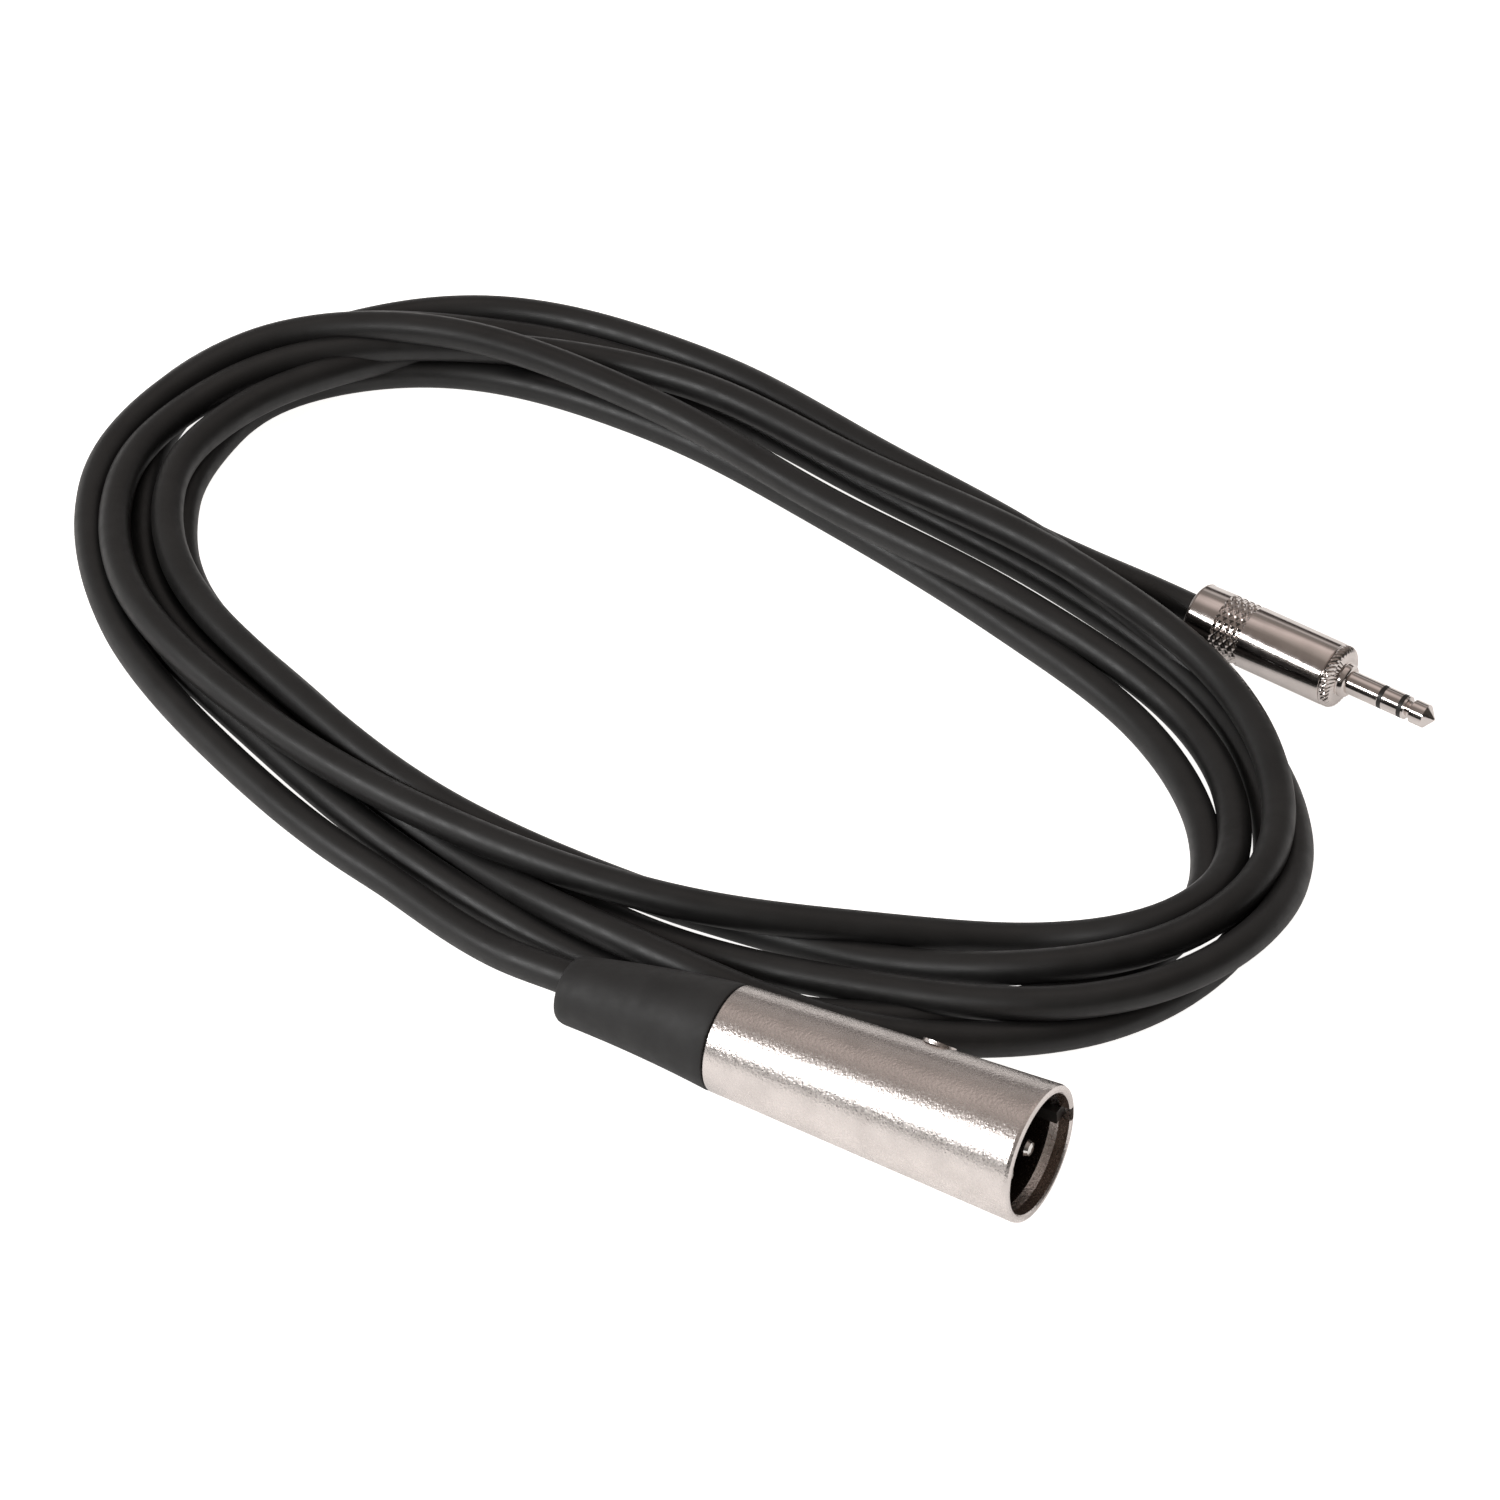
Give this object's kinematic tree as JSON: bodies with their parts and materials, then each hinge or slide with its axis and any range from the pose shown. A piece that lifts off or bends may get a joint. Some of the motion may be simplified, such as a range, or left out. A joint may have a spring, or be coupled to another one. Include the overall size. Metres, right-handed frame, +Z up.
{
  "type": "xlr cable coil",
  "caption": "Loosely coiled black audio cable with a male XLR connector at one end and a small stereo plug at the other.",
  "frame": {"origin": "on the surface that the lead lies on, under the middle of the box around the coil and both connectors", "axes": "+Z up; +X to the right and +Y away from the side where the XLR connector lies, with the XLR socket pointing towards +X and -Y"},
  "size_m": [0.1984, 0.2032, 0.019],
  "materials": {
    "jacket": "matte black PVC",
    "boot_rubber": "matte black rubber",
    "satin_nickel": "satin pearl nickel plate on die-cast zinc",
    "polished_nickel": "polished nickel plate on brass",
    "contact_silver": "silver-plated contact",
    "black_insulator": "black moulded plastic",
    "chuck_plastic": "natural moulded plastic",
    "liner_plastic": "clear-white tube",
    "core_red": "insulated conductor",
    "core_white": "insulated conductor",
    "copper": "twisted bare copper screen"
  },
  "bodies": {
    "lead": {"cable_coil": "jacket", "cable_lead_xlr": "jacket", "cable_lead_jack": "jacket", "xlr_shell": "satin_nickel", "xlr_insert": "black_insulator", "xlr_pin_1": "contact_silver", "xlr_pin_2": "contact_silver", "xlr_pin_3": "contact_silver", "xlr_insert_screw": "satin_nickel", "xlr_core_hot": "core_red", "xlr_core_cold": "core_white", "xlr_drain": "copper", "jack_body": "polished_nickel", "jack_ground_lug": "contact_silver", "jack_insulator_rear": "black_insulator", "jack_ring": "polished_nickel", "jack_insulator_front": "black_insulator", "jack_tip": "polished_nickel", "jack_core_tip": "core_red", "jack_core_ring": "core_white", "jack_drain": "copper"},
    "xlr_chuck": {"xlr_chuck": "chuck_plastic"},
    "xlr_boot": {"xlr_boot_nut": "black_insulator", "xlr_boot": "boot_rubber"},
    "jack_liner": {"jack_liner": "liner_plastic"},
    "jack_barrel": {"jack_barrel": "polished_nickel"}
  },
  "joints": [
    {"name": "xlr_chuck_slide", "type": "slide", "parent": "lead", "child": "xlr_chuck", "axis": [-0.8617, 0.5056, -0.0436], "range_m": [0, 0.004]},
    {"name": "xlr_boot_unscrew", "type": "hinge", "parent": "xlr_chuck", "child": "xlr_boot", "pos_m": [-0.001, -0.0701, 0.00752], "axis": [-0.8617, 0.5056, -0.0436], "range_deg": [0, 1440]},
    {"name": "jack_liner_slide", "type": "slide", "parent": "lead", "child": "jack_liner", "axis": [-0.8007, 0.599, 0], "range_m": [0, 0.003]},
    {"name": "jack_barrel_unscrew", "type": "hinge", "parent": "jack_liner", "child": "jack_barrel", "pos_m": [0.0671, 0.0215, 0.0049], "axis": [-0.8007, 0.599, 0], "range_deg": [0, 1440]}
  ],
  "couplings": [
    {"joint": "xlr_boot_unscrew", "follows": "xlr_chuck_slide", "rad_per_m": 6283},
    {"joint": "jack_barrel_unscrew", "follows": "jack_liner_slide", "rad_per_m": 8377}
  ]
}
